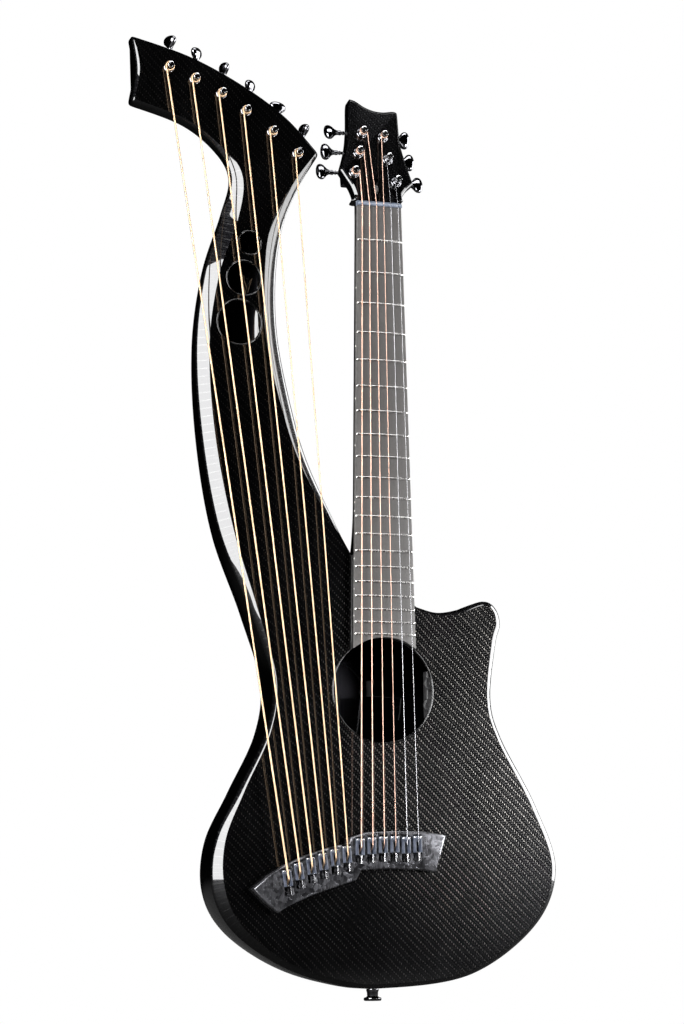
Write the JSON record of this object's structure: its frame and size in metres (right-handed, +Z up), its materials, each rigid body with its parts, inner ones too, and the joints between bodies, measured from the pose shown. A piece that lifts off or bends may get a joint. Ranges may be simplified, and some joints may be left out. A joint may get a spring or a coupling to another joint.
{
  "type": "harp guitar",
  "caption": "Hollow carbon fibre harp guitar: fretted neck, hollow harp arm with floating bass strings, geared tuning machines and sliding bridge saddles.",
  "frame": {"origin": "centre of the end pin's outer flat face, at the tail of the body", "axes": "+Z up along the neck towards the headstocks, -Y out of the soundboard towards the listener, +X towards the treble side and the cutaway"},
  "size_m": [0.446, 0.1095, 0.9806],
  "materials": {
    "carbon_gloss": "deep gloss clear coat over black twill carbon fibre",
    "carbon_top": "gloss clear coat over visible 2x2 twill carbon weave",
    "forged_carbon": "mottled chopped carbon, half gloss",
    "fingerboard": "satin black composite with silver frets",
    "nut": "satin blue grey composite",
    "saddle": "satin blue grey composite",
    "black_chrome": "black chrome, mirror gloss",
    "rod_steel": "plain steel",
    "bass_string": "bronze wound",
    "wound_string": "phosphor bronze wound",
    "plain_string": "plain polished steel",
    "control_plastic": "black moulded plastic"
  },
  "bodies": {
    "body": {"body_shell": "carbon_gloss", "soundboard": "carbon_top", "neck": "carbon_gloss", "fingerboard": "fingerboard", "nut": "nut", "bridge": "forged_carbon", "truss_rod": "rod_steel", "end_pin": "black_chrome", "strap_button": "black_chrome", "preamp_housing": "control_plastic", "string_bass_1": "bass_string", "string_bass_2": "bass_string", "string_bass_3": "bass_string", "string_bass_4": "bass_string", "string_bass_5": "bass_string", "string_bass_6": "bass_string", "string_guitar_6": "wound_string", "string_guitar_5": "wound_string", "string_guitar_4": "wound_string", "string_guitar_3": "wound_string", "string_guitar_2": "plain_string", "string_guitar_1": "plain_string"},
    "button_bass_1": {"button_bass_1": "black_chrome"},
    "post_bass_1": {"post_bass_1": "black_chrome"},
    "button_bass_2": {"button_bass_2": "black_chrome"},
    "post_bass_2": {"post_bass_2": "black_chrome"},
    "button_bass_3": {"button_bass_3": "black_chrome"},
    "post_bass_3": {"post_bass_3": "black_chrome"},
    "button_bass_4": {"button_bass_4": "black_chrome"},
    "post_bass_4": {"post_bass_4": "black_chrome"},
    "button_bass_5": {"button_bass_5": "black_chrome"},
    "post_bass_5": {"post_bass_5": "black_chrome"},
    "button_bass_6": {"button_bass_6": "black_chrome"},
    "post_bass_6": {"post_bass_6": "black_chrome"},
    "button_guitar_6": {"button_guitar_6": "black_chrome"},
    "post_guitar_6": {"post_guitar_6": "black_chrome"},
    "button_guitar_5": {"button_guitar_5": "black_chrome"},
    "post_guitar_5": {"post_guitar_5": "black_chrome"},
    "button_guitar_4": {"button_guitar_4": "black_chrome"},
    "post_guitar_4": {"post_guitar_4": "black_chrome"},
    "button_guitar_3": {"button_guitar_3": "black_chrome"},
    "post_guitar_3": {"post_guitar_3": "black_chrome"},
    "button_guitar_2": {"button_guitar_2": "black_chrome"},
    "post_guitar_2": {"post_guitar_2": "black_chrome"},
    "button_guitar_1": {"button_guitar_1": "black_chrome"},
    "post_guitar_1": {"post_guitar_1": "black_chrome"},
    "saddle_bass_1": {"saddle_bass_1": "saddle"},
    "saddle_bass_2": {"saddle_bass_2": "saddle"},
    "saddle_bass_3": {"saddle_bass_3": "saddle"},
    "saddle_bass_4": {"saddle_bass_4": "saddle"},
    "saddle_bass_5": {"saddle_bass_5": "saddle"},
    "saddle_bass_6": {"saddle_bass_6": "saddle"},
    "saddle_guitar_6": {"saddle_guitar_6": "saddle"},
    "saddle_guitar_5": {"saddle_guitar_5": "saddle"},
    "saddle_guitar_4": {"saddle_guitar_4": "saddle"},
    "saddle_guitar_3": {"saddle_guitar_3": "saddle"},
    "saddle_guitar_2": {"saddle_guitar_2": "saddle"},
    "saddle_guitar_1": {"saddle_guitar_1": "saddle"},
    "volume_wheel": {"volume_wheel": "control_plastic"},
    "tone_wheel": {"tone_wheel": "control_plastic"}
  },
  "joints": [
    {"name": "turn_button_bass_1", "type": "hinge", "parent": "body", "child": "button_bass_1", "pos_m": [-0.2137, -0.0235, 0.94015], "axis": [-0.0209, 0, 0.9998], "continuous": true},
    {"name": "wind_post_bass_1", "type": "hinge", "parent": "body", "child": "post_bass_1", "pos_m": [-0.221, -0.046, 0.94], "axis": [0, 1, 0], "continuous": true},
    {"name": "turn_button_bass_2", "type": "hinge", "parent": "body", "child": "button_bass_2", "pos_m": [-0.1867, -0.0235, 0.92992], "axis": [0.0105, 0, 0.9999], "continuous": true},
    {"name": "wind_post_bass_2", "type": "hinge", "parent": "body", "child": "post_bass_2", "pos_m": [-0.194, -0.046, 0.93], "axis": [0, 1, 0], "continuous": true},
    {"name": "turn_button_bass_3", "type": "hinge", "parent": "body", "child": "button_bass_3", "pos_m": [-0.15871, -0.0235, 0.91662], "axis": [0.0523, 0, 0.9986], "continuous": true},
    {"name": "wind_post_bass_3", "type": "hinge", "parent": "body", "child": "post_bass_3", "pos_m": [-0.166, -0.046, 0.917], "axis": [0, 1, 0], "continuous": true},
    {"name": "turn_button_bass_4", "type": "hinge", "parent": "body", "child": "button_bass_4", "pos_m": [-0.13274, -0.0235, 0.90025], "axis": [0.1028, 0, 0.9947], "continuous": true},
    {"name": "wind_post_bass_4", "type": "hinge", "parent": "body", "child": "post_bass_4", "pos_m": [-0.14, -0.046, 0.901], "axis": [0, 1, 0], "continuous": true},
    {"name": "turn_button_bass_5", "type": "hinge", "parent": "body", "child": "button_bass_5", "pos_m": [-0.10478, -0.0235, 0.87993], "axis": [0.1461, 0, 0.9893], "continuous": true},
    {"name": "wind_post_bass_5", "type": "hinge", "parent": "body", "child": "post_bass_5", "pos_m": [-0.112, -0.046, 0.881], "axis": [0, 1, 0], "continuous": true},
    {"name": "turn_button_bass_6", "type": "hinge", "parent": "body", "child": "button_bass_6", "pos_m": [-0.07783, -0.0235, 0.85863], "axis": [0.1874, 0, 0.9823], "continuous": true},
    {"name": "wind_post_bass_6", "type": "hinge", "parent": "body", "child": "post_bass_6", "pos_m": [-0.085, -0.046, 0.86], "axis": [0, 1, 0], "continuous": true},
    {"name": "turn_button_guitar_6", "type": "hinge", "parent": "body", "child": "button_guitar_6", "pos_m": [-0.0237, -0.02601, 0.84897], "axis": [-1, 0, 0], "continuous": true},
    {"name": "wind_post_guitar_6", "type": "hinge", "parent": "body", "child": "post_guitar_6", "pos_m": [-0.0237, -0.04451, 0.84482], "axis": [0, 0.9848, -0.1736], "continuous": true},
    {"name": "turn_button_guitar_5", "type": "hinge", "parent": "body", "child": "button_guitar_5", "pos_m": [-0.0174, -0.02196, 0.87192], "axis": [-1, 0, 0], "continuous": true},
    {"name": "wind_post_guitar_5", "type": "hinge", "parent": "body", "child": "post_guitar_5", "pos_m": [-0.0174, -0.04047, 0.86777], "axis": [0, 0.9848, -0.1736], "continuous": true},
    {"name": "turn_button_guitar_4", "type": "hinge", "parent": "body", "child": "button_guitar_4", "pos_m": [-0.012, -0.01792, 0.89486], "axis": [-1, 0, 0], "continuous": true},
    {"name": "wind_post_guitar_4", "type": "hinge", "parent": "body", "child": "post_guitar_4", "pos_m": [-0.012, -0.03642, 0.89071], "axis": [0, 0.9848, -0.1736], "continuous": true},
    {"name": "turn_button_guitar_3", "type": "hinge", "parent": "body", "child": "button_guitar_3", "pos_m": [0.0108, -0.01844, 0.89191], "axis": [1, 0, 0], "continuous": true},
    {"name": "wind_post_guitar_3", "type": "hinge", "parent": "body", "child": "post_guitar_3", "pos_m": [0.0108, -0.03694, 0.88776], "axis": [0, 0.9848, -0.1736], "continuous": true},
    {"name": "turn_button_guitar_2", "type": "hinge", "parent": "body", "child": "button_guitar_2", "pos_m": [0.0144, -0.02285, 0.86689], "axis": [1, 0, 0], "continuous": true},
    {"name": "wind_post_guitar_2", "type": "hinge", "parent": "body", "child": "post_guitar_2", "pos_m": [0.0144, -0.04135, 0.86274], "axis": [0, 0.9848, -0.1736], "continuous": true},
    {"name": "turn_button_guitar_1", "type": "hinge", "parent": "body", "child": "button_guitar_1", "pos_m": [0.0219, -0.02724, 0.84198], "axis": [1, 0, 0], "continuous": true},
    {"name": "wind_post_guitar_1", "type": "hinge", "parent": "body", "child": "post_guitar_1", "pos_m": [0.0219, -0.04575, 0.83783], "axis": [0, 0.9848, -0.1736], "continuous": true},
    {"name": "slide_saddle_bass_1", "type": "slide", "parent": "body", "child": "saddle_bass_1", "axis": [-0.1451, 0, 0.9894], "range_m": [-0.0018, 0.0018]},
    {"name": "slide_saddle_bass_2", "type": "slide", "parent": "body", "child": "saddle_bass_2", "axis": [-0.1297, 0, 0.9916], "range_m": [-0.0018, 0.0018]},
    {"name": "slide_saddle_bass_3", "type": "slide", "parent": "body", "child": "saddle_bass_3", "axis": [-0.1132, 0, 0.9936], "range_m": [-0.0018, 0.0018]},
    {"name": "slide_saddle_bass_4", "type": "slide", "parent": "body", "child": "saddle_bass_4", "axis": [-0.0986, 0, 0.9951], "range_m": [-0.0018, 0.0018]},
    {"name": "slide_saddle_bass_5", "type": "slide", "parent": "body", "child": "saddle_bass_5", "axis": [-0.0808, 0, 0.9967], "range_m": [-0.0018, 0.0018]},
    {"name": "slide_saddle_bass_6", "type": "slide", "parent": "body", "child": "saddle_bass_6", "axis": [-0.0632, 0, 0.998], "range_m": [-0.0018, 0.0018]},
    {"name": "slide_saddle_guitar_6", "type": "slide", "parent": "body", "child": "saddle_guitar_6", "axis": [0.0161, 0, 0.9999], "range_m": [-0.0018, 0.0018]},
    {"name": "slide_saddle_guitar_5", "type": "slide", "parent": "body", "child": "saddle_guitar_5", "axis": [0.0097, 0, 1], "range_m": [-0.0018, 0.0018]},
    {"name": "slide_saddle_guitar_4", "type": "slide", "parent": "body", "child": "saddle_guitar_4", "axis": [0.0032, 0, 1], "range_m": [-0.0018, 0.0018]},
    {"name": "slide_saddle_guitar_3", "type": "slide", "parent": "body", "child": "saddle_guitar_3", "axis": [-0.0032, 0, 1], "range_m": [-0.0018, 0.0018]},
    {"name": "slide_saddle_guitar_2", "type": "slide", "parent": "body", "child": "saddle_guitar_2", "axis": [-0.0097, 0, 1], "range_m": [-0.0018, 0.0018]},
    {"name": "slide_saddle_guitar_1", "type": "slide", "parent": "body", "child": "saddle_guitar_1", "axis": [-0.0162, 0, 0.9999], "range_m": [-0.0018, 0.0018]},
    {"name": "turn_volume_wheel", "type": "hinge", "parent": "body", "child": "volume_wheel", "pos_m": [0.0525, -0.0406, 0.3165], "axis": [0, 1, 0], "range_deg": [-135, 135]},
    {"name": "turn_tone_wheel", "type": "hinge", "parent": "body", "child": "tone_wheel", "pos_m": [0.0515, -0.0406, 0.2945], "axis": [0, 1, 0], "range_deg": [-135, 135]}
  ],
  "couplings": [
    {"joint": "wind_post_bass_1", "follows": "turn_button_bass_1", "ratio": 0.071429},
    {"joint": "wind_post_bass_2", "follows": "turn_button_bass_2", "ratio": 0.071429},
    {"joint": "wind_post_bass_3", "follows": "turn_button_bass_3", "ratio": 0.071429},
    {"joint": "wind_post_bass_4", "follows": "turn_button_bass_4", "ratio": 0.071429},
    {"joint": "wind_post_bass_5", "follows": "turn_button_bass_5", "ratio": 0.071429},
    {"joint": "wind_post_bass_6", "follows": "turn_button_bass_6", "ratio": 0.071429},
    {"joint": "wind_post_guitar_6", "follows": "turn_button_guitar_6", "ratio": 0.071429},
    {"joint": "wind_post_guitar_5", "follows": "turn_button_guitar_5", "ratio": 0.071429},
    {"joint": "wind_post_guitar_4", "follows": "turn_button_guitar_4", "ratio": 0.071429},
    {"joint": "wind_post_guitar_3", "follows": "turn_button_guitar_3", "ratio": -0.071429},
    {"joint": "wind_post_guitar_2", "follows": "turn_button_guitar_2", "ratio": -0.071429},
    {"joint": "wind_post_guitar_1", "follows": "turn_button_guitar_1", "ratio": -0.071429}
  ]
}
